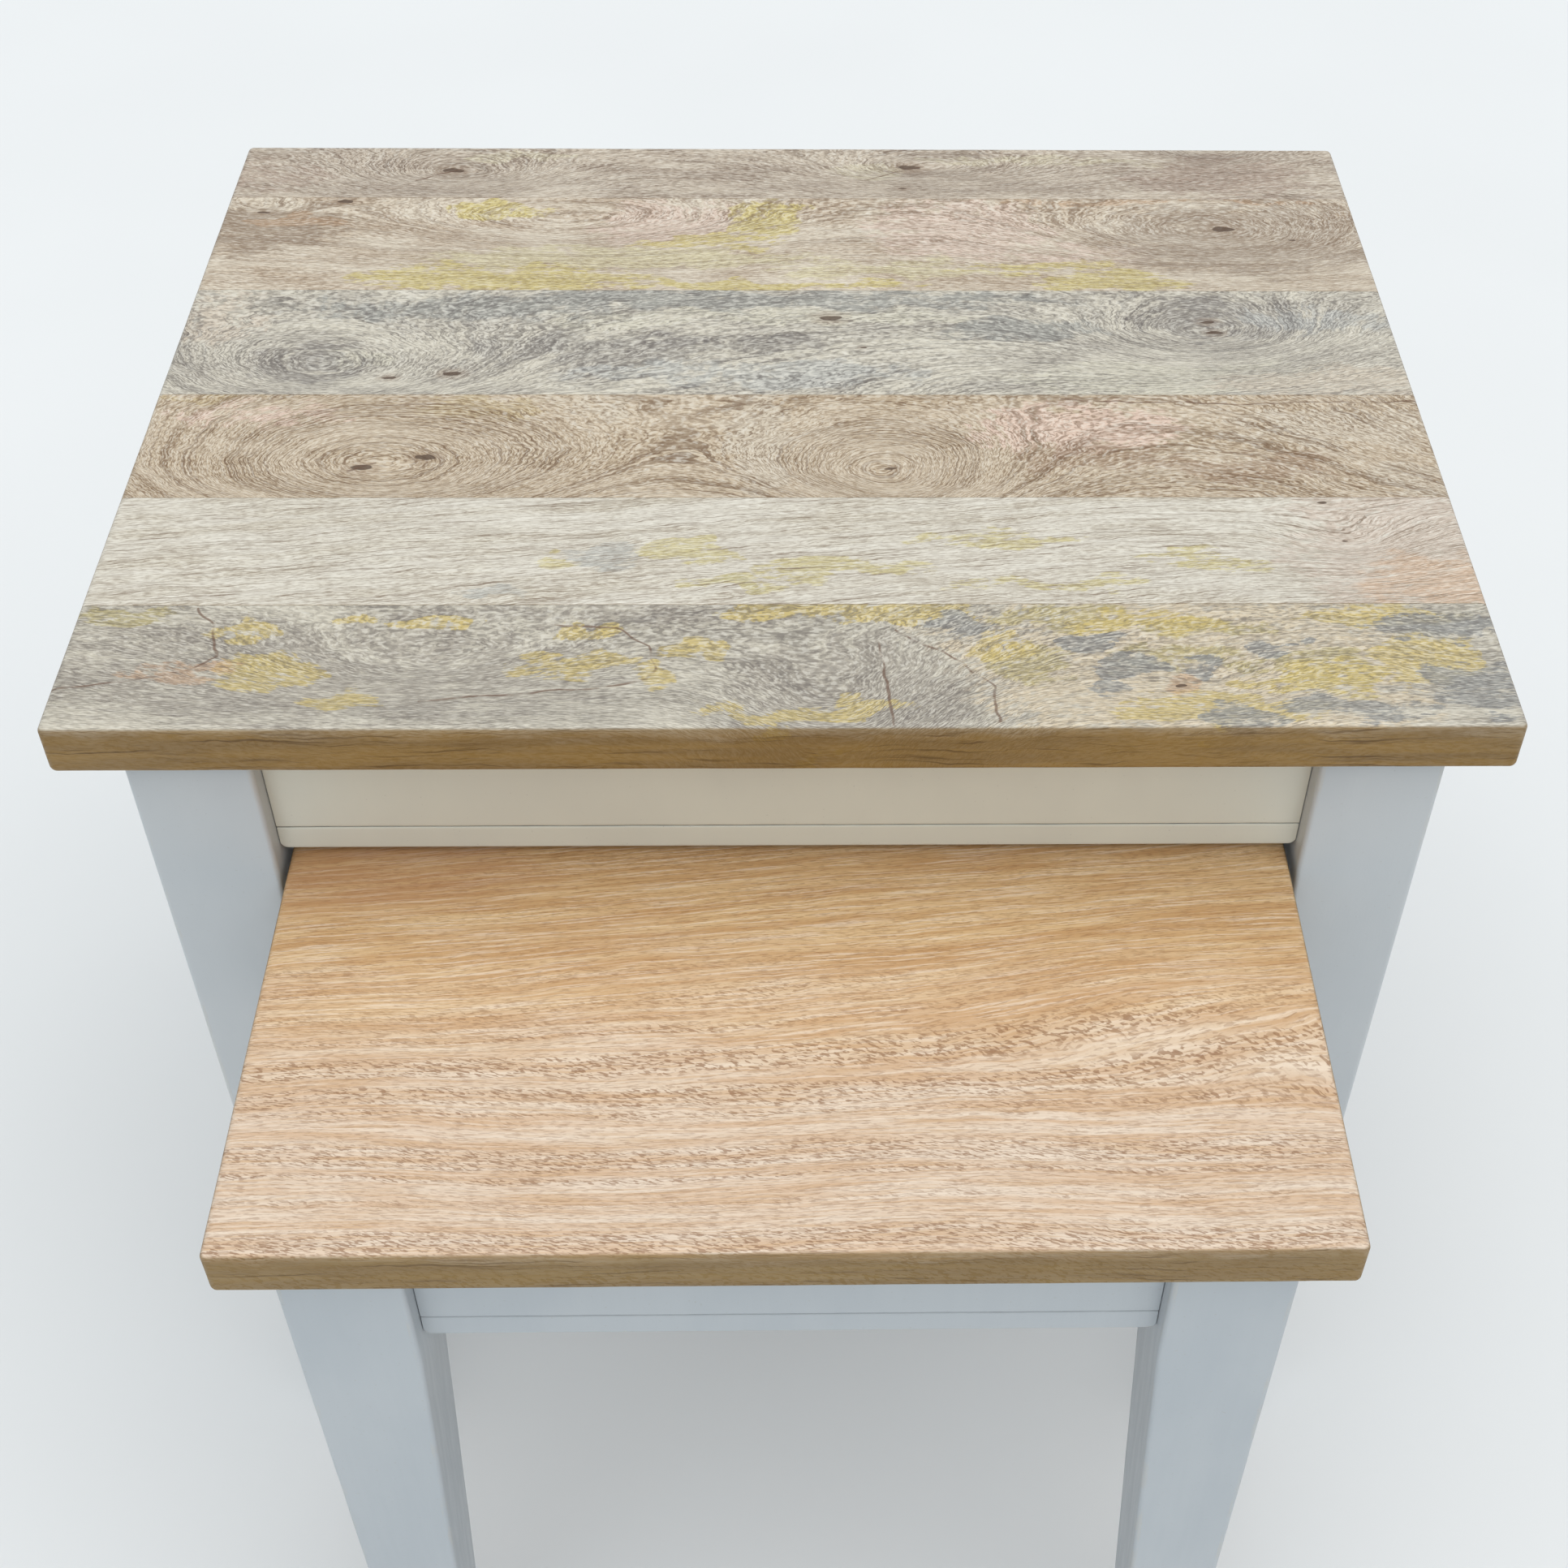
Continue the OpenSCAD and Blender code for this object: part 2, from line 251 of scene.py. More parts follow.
def stave_wood(name, low, tones, hills, slope, pores, rings, seed, threads, stains, knots,
               across=1.0, contrast=1.0, cracks=()):
    """Spalted mango. The growth layers lie nearly flat in the board, so their rings are the
    contours of the given hills. STAVES says what the arguments are."""
    g = Graph(name)
    here = g.vector("SUBTRACT", g.point, tuple(low))
    seeded = g.vector("ADD", here, (seed, 0, seed))
    bent = g.warped(seeded, (0.070, 0.030, 0.030), (0.014, 0.006, 0.0))
    bent = g.vector("SUBTRACT", bent, (seed, 0, seed))

    # The growth layers, and how near the middle of an eye a point is
    x, y, z = g.parts(bent)
    layers = y * across + x * slope + z * 0.55
    eye = 0.0
    for *place, height in hills:
        hill = g.hill(bent, *place, 1.0)
        layers = layers + hill * height
        eye = hill + eye
    ripple = g.noise(g.scaled(seeded, (0.020, 0.006, 0.006)), detail=3.0)
    layers = layers + (ripple - 0.5) * 0.0035

    # Two tones, in broad layers and in clouds
    broad = g.noise_1d(layers / 0.0062 + seed * 37, detail=2.0, roughness=0.6)
    thin = g.noise_1d(layers / 0.0018 + seed * 91, detail=1.0)
    line = g.step(g.math("ABSOLUTE", thin - 0.5), 0.050, 0.010)
    cloud = g.noise(g.scaled(seeded, (0.045, 0.016, 0.02)), detail=4.0, roughness=0.6)
    light, middle_tone, dark = tones
    base = g.step(broad * 0.42 + cloud * 0.85, 0.46, 0.84, 0.0, contrast)
    colour = g.mix(base, light, middle_tone)

    # Stains, with rims torn along the grain
    dashes, flecks = wood_pores(g, here, layers)
    along, _, deep = g.parts(seeded)
    ragged = g.noise(g.joined(along / 0.006, layers / 0.0013, deep / 0.004), detail=3.0,
                     roughness=0.7)
    torn = g.noise(g.scaled(seeded, (0.010, 0.005, 0.006)), detail=3.0, roughness=0.6)
    tear = (ragged - 0.5) * 2.4 + (torn - 0.5) * 2.0 + (broad - 0.5) * 1.2
    cut = g.step(ragged + (dashes - 0.5) * 0.6, 0.30, 0.58, 0.45, 1.0)
    loose = g.warped(here, (0.022, 0.014, 0.01), (0.036, 0.022, 0.0))
    for stain, share, sharp, places in stains:
        spot = g.spots(loose, places)
        field = spot + tear * g.step(spot, 0.0, 0.3)
        soft = 0.05 + 0.42 * (1 - sharp)
        through = 1 - (1 - cut) * (sharp * 0.65)
        colour = g.mix(g.step(field, 0.45 - soft, 0.45 + soft) * through * share, colour, stain)

    # Ring lines, fine grain, and pores with light wood between them
    patchy = g.step(cloud, 0.30, 0.62, 0.4, 1.0) * g.step(eye, 0.25, 0.7, 0.3, 1.0)
    colour = g.mix(line * patchy * rings, colour, dark)
    dense = g.step(cloud + (broad - 0.5) * 0.5, 0.25, 0.65, 0.5, 1.0)
    thread = g.noise(g.joined(along / 0.034, layers / 0.00052, deep / 0.003), detail=2.0,
                     roughness=0.6)
    colour = g.mix(g.step(thread, 0.54, 0.68, 0.0, threads), colour, dark)
    colour = g.mix(g.step(thread, 0.46, 0.34, 0.0, threads * 0.6), colour, srgb(236, 230, 218))
    pore = g.step(dashes, 0.535, 0.60) * dense
    colour = g.mix(pore * pores, colour, dark)
    fleck = g.step(flecks, 0.54, 0.68)
    colour = g.mix(fleck * pores * 0.5, colour, dark)
    gleam = g.step(dashes, 0.46, 0.36)
    colour = g.mix(gleam * 0.30, colour, srgb(246, 240, 228))
    dents = pore * -0.5 - fleck * 0.2 - line * 0.15

    # Knots and cracks
    halo = g.spots(here, [(kx, ky, r * 3.5, r * 2.0, 0.40) for kx, ky, r in knots])
    colour = g.mix(halo * g.step(thin, 0.3, 0.6, 0.35, 1.0), colour, srgb(146, 120, 98))
    uneven = g.warped(here, (0.0070, 0.0050, 0.01), (0.005, 0.0030, 0.0))
    core = g.spots(uneven, [(kx, ky, r * 1.9, r * 0.72, 1.0) for kx, ky, r in knots])
    core = g.step(core, 0.15, 0.50)
    colour = g.mix(core * 0.85, colour, DARK)
    dents = dents - core * 1.2
    if cracks:
        uneven = g.warped(here, (0.012, 0.009, 0.01), (0.0045, 0.0035, 0.0))
        crack = None
        for path in cracks:
            mark = g.stroke(uneven, path, 0.0008)
            crack = mark if crack is None else g.math("MAXIMUM", crack, mark)
        broken = g.step(g.noise(g.scaled(seeded, (0.008, 0.008, 0.01))), 0.32, 0.56, 0.15, 1.0)
        colour = g.mix(crack * broken * 0.72, colour, srgb(110, 80, 62))
        dents = dents - crack * broken * 0.8

    colour = edge_colour(g, here, colour, srgb(141, 106, 42), srgb(88, 62, 30))
    smears = g.noise(g.scaled(seeded, (0.09, 0.06, 0.05)), detail=2.0)
    roughness = g.step(smears, 0.3, 0.7, 0.42, 0.54) + pore * 0.12
    normal = g.bump(dents, 0.0003, 0.5)
    return g.finish(colour, roughness, normal, Specular_IOR_Level=0.3)


def plain_wood(name, low, seed):
    """Plain mango: fine straight grain at the back, slanting dashes where it interlocks."""
    g = Graph(name)
    here = g.vector("SUBTRACT", g.point, tuple(low))
    seeded = g.vector("ADD", here, (seed, seed, 0))
    bent = g.warped(seeded, (0.16, 0.06, 0.05), (0.0, 0.014, 0.0))
    x, y, z = g.parts(g.vector("SUBTRACT", bent, (seed, seed, 0)))
    along, across, _ = g.parts(here)
    tilt = g.step(across, 0.05, 0.13, -0.01, -0.10)
    waver = g.noise(g.scaled(seeded, (0.018, 0.008, 0.01)), detail=2.0)
    layers = y + x * tilt + z * 0.4 + (waver - 0.5) * 0.0018
    ribbon = g.noise_1d(layers / 0.0125 + seed, detail=2.0, roughness=0.6)
    streak = g.noise(g.joined(along / 0.10, layers / 0.0042, z / 0.004 + seed), detail=3.0,
                     roughness=0.6)
    thread = g.noise(g.joined(along / 0.035, layers / 0.00075, z / 0.003 + seed), detail=2.0,
                     roughness=0.6)
    drift = g.noise(g.scaled(seeded, (0.14, 0.035, 0.05)), detail=3.0)
    # Towards the back of the board the wood turns darker and more golden: partly its own tone,
    # partly painted shade from the large top above it
    back = g.step(across + (drift - 0.5) * 0.10, 0.045, 0.165)
    light = g.mix(back, srgb(228, 208, 188), srgb(222, 188, 142))
    deep = g.mix(back, srgb(214, 182, 152), srgb(202, 160, 112))
    colour = g.mix(g.step(streak, 0.34, 0.66), light, deep)
    golden = g.mix(back, srgb(206, 168, 126), srgb(190, 142, 92))
    colour = g.mix(g.step(thread, 0.50, 0.70, 0.0, 0.55), colour, golden)
    colour = g.mix(g.step(thread, 0.48, 0.34, 0.0, 0.50), colour, srgb(242, 224, 204))
    rows = g.step(ribbon + (waver - 0.5) * 0.25, 0.42, 0.60, 0.12, 1.0)
    rows = rows * g.step(back, 0.95, 0.35, 0.25, 1.0)
    slanted = g.joined(along / 0.0030, (layers + x * 0.22) / 0.00062, z / 0.003)
    dash = g.step(g.noise(slanted, detail=1.0), 0.535, 0.60) * rows
    tone = g.mix(back, srgb(150, 112, 84), srgb(152, 108, 66))
    colour = g.mix(dash * 0.72, colour, tone)
    straight = g.joined(along / 0.0046, layers / 0.00045, z / 0.003)
    pore = g.step(g.noise(straight, detail=1.0), 0.55, 0.64)
    colour = g.mix(pore * 0.40, colour, tone)
    loose = g.warped(here, (0.05, 0.02, 0.01), (0.05, 0.02, 0.0))
    corner = g.spots(loose, [(0.04, 0.185, 0.09, 0.03, 0.5)])
    colour = g.mix(corner * g.step(streak, 0.3, 0.6, 0.5, 1.0), colour, srgb(184, 132, 92))
    colour = edge_colour(g, here, colour, srgb(136, 108, 56), srgb(100, 74, 40))
    smears = g.noise(g.scaled(seeded, (0.09, 0.06, 0.05)), detail=2.0)
    roughness = g.step(smears, 0.3, 0.7, 0.42, 0.54) + dash * 0.12
    normal = g.bump(dash * -0.6 - pore * 0.4, 0.0003, 0.5)
    return g.finish(colour, roughness, normal, Specular_IOR_Level=0.3)


def bare_wood():
    """Planed wood with no finish, on the blocks and buttons under the tops."""
    g = Graph("bare_wood")
    bent = g.warped(g.point, (0.06, 0.02, 0.02), (0.004, 0.004, 0.004))
    x, y, z = g.parts(bent)
    rings = g.noise_1d((z + y * 0.4) / 0.0024, detail=3.0, roughness=0.6)
    colour = g.mix(g.step(rings, 0.35, 0.7), srgb(212, 180, 134), srgb(172, 134, 90))
    dash = g.noise(g.joined(x / 0.006, y / 0.0006, z / 0.0006), detail=1.0)
    colour = g.mix(g.step(dash, 0.58, 0.7, 0.0, 0.45), colour, srgb(118, 84, 54))
    roughness = g.step(rings, 0.3, 0.7, 0.62, 0.78)
    normal = g.bump(rings - dash * 0.8, 0.0003, 0.5)
    return g.finish(colour, roughness, normal, Specular_IOR_Level=0.3)


def paint(name, light, dull):
    """Satin off-white paint, a little uneven, with specks in it, rubbed arrises, and painted
    shade in the scored groove of an apron.
    """
    g = Graph(name)
    cloud = g.noise(g.scaled(g.point, (0.05, 0.05, 0.09)), detail=3.0)
    colour = g.mix(g.step(cloud, 0.3, 0.7), light, dull)
    speck = g.noise(g.scaled(g.point, (0.0011, 0.0011, 0.0011)), detail=0.0)
    colour = g.mix(g.step(speck, 0.80, 0.86, 0.0, 0.3), colour, srgb(168, 162, 150))
    arris = g.node("Attribute", {}, output=2, attribute_name="arris")
    rub = g.noise(g.scaled(g.point, (0.006, 0.006, 0.025)), detail=3.0)
    worn = g.step(arris, 0.35, 0.9) * g.step(rub, 0.52, 0.66)
    colour = g.mix(worn * 0.22, colour, srgb(196, 186, 168))
    # Painted shade: inside the scored groove the paint turns dark grey
    scored = g.node("Attribute", {}, output=2, attribute_name="scored")
    colour = g.mix(g.step(scored, 0.25, 0.85, 0.0, 0.8), colour, srgb(84, 82, 78))
    peel = g.noise(g.scaled(g.point, (0.0011, 0.0011, 0.0014)), detail=1.0)
    brushed = g.noise(g.scaled(g.point, (0.004, 0.004, 0.05)), detail=2.0)
    roughness = g.step(brushed + (peel - 0.5) * 0.3, 0.3, 0.7, 0.34, 0.46)
    normal = g.bump(peel * 0.5 + brushed - worn * 0.6, 0.00012, 0.5)
    return g.finish(colour, roughness, normal, Specular_IOR_Level=0.45)


def zinc():
    """Zinc-plated steel with dull patches."""
    g = Graph("zinc_steel")
    patch = g.noise(g.scaled(g.point, (0.003, 0.003, 0.003)), detail=3.0)
    colour = g.mix(g.step(patch, 0.35, 0.7), srgb(205, 205, 202), srgb(168, 170, 174))
    scratch = g.noise(g.scaled(g.point, (0.0004, 0.0004, 0.002)), detail=2.0)
    roughness = g.step(patch + (scratch - 0.5) * 0.5, 0.3, 0.7, 0.28, 0.5)
    return g.finish(colour, roughness, g.bump(scratch, 0.00005, 0.5), Metallic=1.0)


def felt():
    """Pressed grey felt with loose fibres."""
    g = Graph("felt")
    clump = g.noise(g.scaled(g.point, (0.0022, 0.0022, 0.0022)), detail=3.0)
    fibre = g.noise(g.scaled(g.point, (0.0012, 0.0002, 0.0004)), detail=2.0, distortion=2.0)
    colour = g.mix(g.step(clump, 0.3, 0.7), srgb(92, 88, 84), srgb(62, 60, 58))
    colour = g.mix(g.step(fibre, 0.58, 0.7, 0.0, 0.5), colour, srgb(140, 136, 130))
    normal = g.bump(clump + fibre, 0.0004, 0.8)
    return g.finish(colour, g.step(fibre, 0.2, 0.8, 0.85, 0.98), normal, Specular_IOR_Level=0.15,
                    Sheen_Weight=0.3)


# ---- Meshes ----

def grid_lines(low, high, ease_low, ease_high, spacing):
    """Coordinates along one side of a board: close together over its arrises and even between."""
    turn = [1 - math.tan(math.radians(a)) for a in (45, 36, 27, 18, 9, 0)]
    first = [low + ease_low * t for t in turn] if ease_low else [low, low + SEAM]
    last = [high - ease_high * t for t in turn[::-1]] if ease_high else [high - SEAM, high]
    margin = 0.6 * MM
    start, end = first[-1] + margin, last[0] - margin
    count = max(1, round((end - start) / spacing))
    return first + [start + (end - start) * i / count for i in range(count + 1)] + last


def box_skin(lines):
    """Points and quads of a box's surface, with grid lines at the given coordinates."""
    last = [len(line) - 1 for line in lines]
    cells, quads = {}, []
    for axis in range(3):
        across, along = (axis + 1) % 3, (axis + 2) % 3
        for side in (0, last[axis]):
            for i in range(last[across]):
                for j in range(last[along]):
                    ring = []
                    for di, dj in ((0, 0), (1, 0), (1, 1), (0, 1)):
                        cell = [0, 0, 0]
                        cell[axis], cell[across], cell[along] = side, i + di, j + dj
                        ring.append(cells.setdefault(tuple(cell), len(cells)))
                    quads.append(ring if side else ring[::-1])
    points = [Vector([lines[n][cell[n]] for n in range(3)]) for cell in cells]
    return points, quads


def piece(name, points, faces, node, slot, material, **marks):
    """Makes a mesh that stands for a CAD node and moves with that node's body."""
    mesh = bpy.data.meshes.new(name)
    mesh.from_pydata(points, [], faces)
    build = bmesh.new()
    build.from_mesh(mesh)
    bmesh.ops.recalc_face_normals(build, faces=build.faces)
    build.to_mesh(mesh)
    build.free()
    for mark, values in marks.items():
        mesh.attributes.new(mark, "FLOAT", "POINT").data.foreach_set("value", values)
    mesh.shade_smooth()
    mesh.materials.append(material)
    made = bpy.data.objects.new(name, mesh)
    scene.collection.objects.link(made)
    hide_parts(node)
    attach(made, "large_table" if node.startswith("large") else "small_table")


def board(name, node, top_low, top_high, slot, material):
    """One board of a top, eased where it is at the top's edge and faintly chamfered at a seam."""
    low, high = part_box(node)
    eases = []
    for n in range(3):
        outer = (abs(low[n] - top_low[n]) < SEAM, abs(high[n] - top_high[n]) < SEAM)
        eases.append([TOP_EASE if at_edge else 0 for at_edge in outer])
    spacing = (12 * MM, 12 * MM, 5 * MM)
    lines = [grid_lines(low[n], high[n], *eases[n], spacing[n]) for n in range(3)]
    points, quads = box_skin(lines)
    for i, p in enumerate(points):
        on_seam = any(
            (not eases[1][side]) and abs(p.y - (low, high)[side].y) < TINY for side in (0, 1)
        )
        core = Vector([
            min(max(p[n], top_low[n] + TOP_EASE), top_high[n] - TOP_EASE) for n in range(3)
        ])
        away = p - core
        if sum(abs(a) > TINY for a in away) > 1:
            wear = noise.noise(p * 45) * 0.5 + noise.noise(p * 160) * 0.3
            away = away.normalized() * (TOP_EASE - abs(wear) * 0.28 * MM)
        if on_seam and away.length > TINY:
            away = away * (1 - SEAM / away.length)
        points[i] = core + away
    piece(name, points, quads, node, slot, material)


def extreme_span(node, axis, sign, along):
    """Lowest and highest coordinate along an axis of a CAD node's outermost face."""
    vertices = [v.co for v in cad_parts[node].data.vertices]
    face = max(sign * v[axis] for v in vertices)
    span = [v[along] for v in vertices if sign * v[axis] > face - 0.01 * MM]
    return min(span), max(span)


def loft(rings):
    """Points and faces of a closed skin over rings that all have the same number of points."""
    count = len(rings[0])
    points = [p for ring in rings for p in ring]
    faces = [list(range(count))]
    for k in range(len(rings) - 1):
        for i in range(count):
            j = (i + 1) % count
            faces.append([k * count + i, k * count + j, (k + 1) * count + j, (k + 1) * count + i])
    faces.append(list(range((len(rings) - 1) * count, len(rings) * count)))
    return points, faces


def leg_section(wide, ease):
    """Outline of a square leg, its outer corner at the origin, and what part of it is arris."""
    outline, arris = [], []
    for cx, cy, start in ((1, 1, 180), (0, 1, 270), (0, 0, 0), (1, 0, 90)):
        x = ease if cx else wide - ease
        y = ease if cy else wide - ease
        for step in range(-1, 8):
            angle = math.radians(start + 90 * min(max(step, 0), 6) / 6)
            px, py = x + ease * math.cos(angle), y + ease * math.sin(angle)
            if step in (-1, 7):
                lead = math.radians(start + (-90 if step < 0 else 180))
                px += 0.8 * MM * math.cos(lead)
                py += 0.8 * MM * math.sin(lead)
            outline.append((px, py))
            arris.append(0.0 if step in (-1, 7) else 1.0)
    return outline, arris


def leg(node, foot_wide, taper_z, material):
    """Square leg that tapers on its two inner faces, every arris eased and its foot chamfered."""
    low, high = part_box(node)
    wide = high.x - low.x
    right, back = low.x > 0, node.split("_")[2] == "back"
    corner = Vector((high.x if right else low.x, high.y if back else low.y, 0))
    turn = Vector((-1 if right else 1, -1 if back else 1, 1))
    bottom = low.z
    heights = [bottom, bottom + 0.5 * MM, bottom + 1.2 * MM, bottom + 2 * MM]
    count = 26
    reach = taper_z - bottom - 10 * MM
    heights += [bottom + 6 * MM + reach * i / count for i in range(count + 1)]
    heights += [taper_z - 1.5 * MM, taper_z, taper_z + 1.5 * MM, taper_z + 6 * MM]
    heights += [taper_z + (high.z - taper_z) * s for s in (0.4, 0.7, 1.0)]
    rings, arris = [], []
    for z in heights:
        share = max(0.0, 1 - z / taper_z)
        across = wide - (wide - foot_wide) * share
        inset = max(0.0, 1.2 * MM - (z - bottom)) * 0.8
        outline, worn = leg_section(across - 2 * inset, LEG_EASE - inset * 0.5)
        ring = []
        for (px, py), edge in zip(outline, worn):
            p = corner + Vector((turn.x * (px + inset), turn.y * (py + inset), z))
            wander = noise.noise(p * 22 + Vector((3, 5, 7))) * 0.12 * MM
            pull = Vector((corner.x + turn.x * across / 2, corner.y + turn.y * across / 2, z)) - p
            ring.append(p + pull.normalized() * (abs(wander) * (1.6 if edge else 0.6)))
        rings.append(ring)
        arris += worn
    points, faces = loft(rings)
    piece(node + "_shaped", points, faces, node, "off_white_paint", material, arris=arris)


def apron(node, material):
    """Apron with a scored line along its outer face and rounded lower corners at its ends."""
    low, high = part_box(node)
    side = node.split("_")[2]
    axis, along = (1, 0) if side in ("front", "back") else (0, 1)
    sign = 1 if side in ("back", "right") else -1
    start, end = extreme_span(node, axis, sign, along)
    face = high[axis] if sign > 0 else low[axis]
    thick = high[axis] - low[axis]
    line_z = low.z + SCORE_HEIGHT
    gap, rounding, ease = 0.35 * MM, 3 * MM, 1.2 * MM
    start, end = start + gap, end - gap
    length = end - start
    near = [0, 0.15, 0.5, 1, 1.8, 2.8, 4, 5.5, 8]
    count = max(4, round(length / (7 * MM)))
    inner = [start + 12 * MM + (length - 24 * MM) * i / count for i in range(count + 1)]
    stations = [start + n * MM for n in near] + inner + [end - n * MM for n in near[::-1]]
    rings, arris, scored = [], [], []
    for t in stations:
        from_end = min(t - start, end - t)
        lift = 0.0
        if from_end < rounding:
            lift = rounding - math.sqrt(rounding ** 2 - (rounding - from_end) ** 2)
            lift = min(lift, 2.2 * MM)
        bottom = low.z + lift
        seed = Vector((t * 60, face * 7, sign * 3))
        middle = line_z + noise.noise(seed) * 0.16 * MM
        deep = (1.9 + 0.3 * noise.noise(seed * 3)) * MM
        half = (0.42 + 0.08 * noise.noise(seed * 2 + Vector((9, 1, 4)))) * MM
        profile = [
            (0, high.z, FLAT), (0, high.z - 20 * MM, FLAT),
            (0, middle + half + 1.4 * MM, FLAT), (0, middle + half + 0.25 * MM, FLAT),
            (0.10 * MM, middle + half, FLAT), (deep * 0.5, middle + half * 0.8, SCORED),
            (deep, middle, SCORED), (deep * 0.5, middle - half * 0.8, SCORED),
            (0.10 * MM, middle - half, FLAT), (0, middle - half - 0.25 * MM, FLAT),
            (0, middle - half - 1.4 * MM, FLAT), (0, bottom + ease + 0.6 * MM, FLAT),
        ]
        turns = [math.radians(18 * step) for step in range(6)]
        for angle in turns:
            depth = ease * (1 - math.cos(angle))
            profile.append((depth, bottom + ease * (1 - math.sin(angle)), ARRIS))
        for angle in turns:
            depth = thick - ease * (1 - math.sin(angle))
            profile.append((depth, bottom + ease * (1 - math.cos(angle)), ARRIS))
        profile += [(thick, bottom + ease + 1 * MM, FLAT), (thick, high.z, FLAT)]
        ring = []
        for depth, z, _ in profile:
            p = Vector((0, 0, z))
            p[along] = t
            p[axis] = face - sign * depth
            ring.append(p)
        rings.append(ring)
        arris += [float(kind == ARRIS) for _, _, kind in profile]
        # Points inside the groove are marked so that the paint darkens them as painted shade
        scored += [float(kind == SCORED) for _, _, kind in profile]
    points, faces = loft(rings)
    piece(node + "_scored", points, faces, node, "off_white_paint", material, arris=arris,
          scored=scored)


def glide(node, material):
    """Felt disc with a soft, slightly uneven rim."""
    low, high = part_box(node)
    centre = (low + high) / 2
    radius, soft = (high.x - low.x) / 2, 0.7 * MM
    profile = []
    for first, rim_z in ((-90, low.z + soft), (0, high.z - soft)):
        for step in range(7):
            angle = math.radians(first + 15 * step)
            reach = radius - soft + soft * math.cos(angle)
            profile.append((reach, rim_z + soft * math.sin(angle)))
    rings = []
    for reach, z in profile:
        ring = []
        for i in range(64):
            angle = math.tau * i / 64
            outward = Vector((math.cos(angle), math.sin(angle), 0))
            p = Vector((centre.x, centre.y, z)) + outward * reach
            fuzz = abs(noise.noise(p * 900)) * 0.25 * MM
            ring.append(p - outward * fuzz)
        rings.append(ring)
    points, faces = loft(rings)
    piece(node + "_felt", points, faces, node, "felt", material)


# ---- The two tops ----

def whole_box(nodes):
    boxes = [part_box(n) for n in nodes]
    low = Vector([min(b[0][n] for b in boxes) for n in range(3)])
    high = Vector([max(b[1][n] for b in boxes) for n in range(3)])
    return low, high


staves = ["large_top_stave_%d" % n for n in range(1, 7)]
boards = ["small_top_front_board", "small_top_back_board"]
corners = ["front_left", "front_right", "back_left", "back_right"]
large_low, large_high = whole_box(staves)
small_low, small_high = whole_box(boards)

